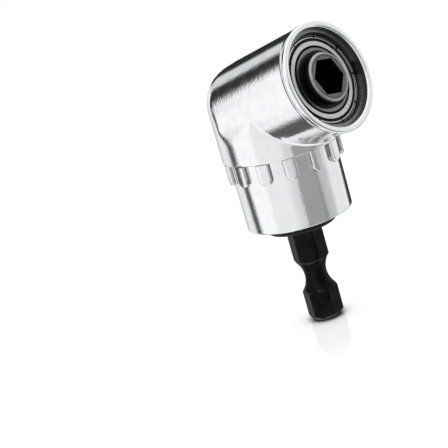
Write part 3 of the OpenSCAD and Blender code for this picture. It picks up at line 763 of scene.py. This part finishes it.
# Studio
# A pale floor under a white tent, with one soft lamp. Dark panels in the tent draw the
# bands that bright plating needs; only reflections see them.
AMBIENT = 0.85
FLOOR_HALF, FLOOR_GLOW = 4.0, 1.03
# reach of the floor's painted contact shadow, its darkest grey, and how far inside and outside the
# tip's rim its painted disc fades
CONTACT_REACH, CONTACT_SHADE, SHADE_INSIDE, SHADE_OUTSIDE = 0.009, 0.06, 0.4, 2.2
MIRROR_SHARE, MIRROR_ROUGH, MIRROR_NEAR, MIRROR_FAR = 0.13, 0.12, 12, 30
KEY_POWER, KEY_SIZE, KEY_SPOT, KEY_TILT, KEY_TURN = 0.35, 0.3, (0.1, -0.35, 0.4), 40, 15
PANELS = [
    # azimuth, elevation, turn, half width, half height, softness in degrees, and how dark:
    # the first four draw the barrel's bands, the others mainly those of the upright walls
    (189, 27, 35, 5.5, 16, 5, 0.985),
    (162, 26, 0, 9, 8, 6, 0.3),
    (145, 10.5, -39, 5.5, 13, 5, 0.98),
    (-157, -51, 30, 9, 9, 11, 0.9),
    (-154, -11, 13, 2.5, 17, 12, 0.9),
    (-8, -15, 0, 21, 40, 4, 0.57),
    (27, -15, 0, 6, 40, 14, 0.45),
    (-14, -15, 0, 24, 40, 20, 0.2),
    (-66, -15, 0, 30, 40, 6, 0.14),
    (60, -15, 0, 19, 40, 6, 0.17),
    (-172, -19, 0, 20, 22, 12, 0.16),
    (109, -22, -8, 10, 24, 13, 0.96),
    (138, -17, 0, 20, 13, 12, 0.38),
]


def direction(azimuth, elevation):
    """Unit vector of an azimuth from +X and an elevation, in degrees."""
    turn, rise = math.radians(azimuth), math.radians(elevation)
    level = math.cos(rise)
    return np.array([math.cos(turn) * level, math.sin(turn) * level, math.sin(rise)])


def panel_mask(maker, look, azimuth, elevation, turn, half_w, half_h, soft):
    """1 inside a soft-edged rectangle of directions, turned round the panel's middle."""
    middle = direction(azimuth, elevation)
    level = direction(azimuth + 90, 0)
    cos, sin = math.cos(math.radians(turn)), math.sin(math.radians(turn))
    across = cos * level + sin * np.cross(middle, level)
    up = np.cross(middle, across)

    def along(axis):
        return maker.vector("DOT_PRODUCT", look, tuple(axis), output="Value")

    def within(axis, half):
        inner, outer = math.sin(math.radians(half)), math.sin(math.radians(half + soft))
        return 1 - along(axis).absolute().smooth(inner, outer)

    return within(across, half_w) * within(up, half_h) * along(middle).smooth(0.0, 0.2)


world = bpy.data.worlds.new("tent")
bpy.context.scene.world = world
world.use_nodes = True
maker = Maker(world.node_tree)
look = maker.node("TexCoord", output="Generated")
light = 1.0
for *place, dark in PANELS:
    light = light * (1 - panel_mask(maker, look, *place) * dark)
camera_ray = maker.node("LightPath", output="Is Camera Ray")
glossy_ray = maker.node("LightPath", output="Is Glossy Ray")
other_ray = (1 - camera_ray) * (1 - glossy_ray)
level = AMBIENT * other_ray + camera_ray + light * glossy_ray * (1 - camera_ray)
maker.finish(maker.node("Background", None, {"Color": grey(1.0), "Strength": level}))

floor_mesh = bpy.data.meshes.new("floor")
floor_mesh.from_pydata([(-FLOOR_HALF, -FLOOR_HALF, 0), (FLOOR_HALF, -FLOOR_HALF, 0),
                        (FLOOR_HALF, FLOOR_HALF, 0), (-FLOOR_HALF, FLOOR_HALF, 0)],
                       [], [(0, 1, 2, 3)])
floor = bpy.data.objects.new("floor", floor_mesh)
bpy.context.scene.collection.objects.link(floor)
floor.visible_glossy = False
floor_material, maker = new_material("floor")
# painted shadow: the glowing floor's colour is darkened by ambient occlusion and by a fixed dark
# disc round the tip
contact = maker.node("AmbientOcclusion", {"samples": 16}, {"Distance": CONTACT_REACH}, "AO")
from_tip = maker.length_mm(maker.place())
tip_painted_shadow = from_tip.smooth(TIP_R - SHADE_INSIDE, TIP_R + SHADE_OUTSIDE)
shade = contact.smooth(0.1, 1.0) * (CONTACT_SHADE + tip_painted_shadow * (1 - CONTACT_SHADE))
white = maker.node("Emission", None, {
    "Color": maker.mix(shade, grey(0.0), grey(1.0)), "Strength": FLOOR_GLOW})
mirror = maker.node("BsdfGlossy", None, {"Color": grey(1.0), "Roughness": MIRROR_ROUGH})
gloss = MIRROR_SHARE * (1 - from_tip.smooth(MIRROR_NEAR, MIRROR_FAR))
maker.finish(maker.node("MixShader", None, {0: gloss, 1: white, 2: mirror}))
floor_mesh.materials.append(floor_material)

key_data = bpy.data.lights.new("key", "AREA")
key_data.energy = KEY_POWER
key_data.size = KEY_SIZE
key = bpy.data.objects.new("key", key_data)
key.visible_glossy = False
bpy.context.scene.collection.objects.link(key)
key.location = KEY_SPOT
key.rotation_euler = (math.radians(KEY_TILT), 0, math.radians(KEY_TURN))

# Camera
# Fitted to the photograph: a long lens in front of the mouth, leaning with the object.
CAMERA_SPOT = (0.18222, -0.18602, 0.09314)
CAMERA_AZIMUTH, CAMERA_ELEVATION, CAMERA_ROLL = -42.357, 14.900, -16.327
CAMERA_LENS, CAMERA_NEAR = 111.05, 0.01

camera_data = bpy.data.cameras.new("camera")
camera_data.lens = CAMERA_LENS
camera_data.clip_start = CAMERA_NEAR
camera = bpy.data.objects.new("camera", camera_data)
bpy.context.scene.collection.objects.link(camera)
back = direction(CAMERA_AZIMUTH, CAMERA_ELEVATION)
right = direction(CAMERA_AZIMUTH + 90, 0)
up = np.cross(back, right)
roll = math.radians(CAMERA_ROLL)
turn_right = math.cos(roll) * right + math.sin(roll) * up
turn_up = math.cos(roll) * up - math.sin(roll) * right
camera.matrix_world = Matrix(np.vstack([
    np.stack([turn_right, turn_up, back, np.array(CAMERA_SPOT)], axis=1), (0, 0, 0, 1)]).tolist())
bpy.context.scene.camera = camera
bpy.context.scene.view_settings.view_transform = "Standard"
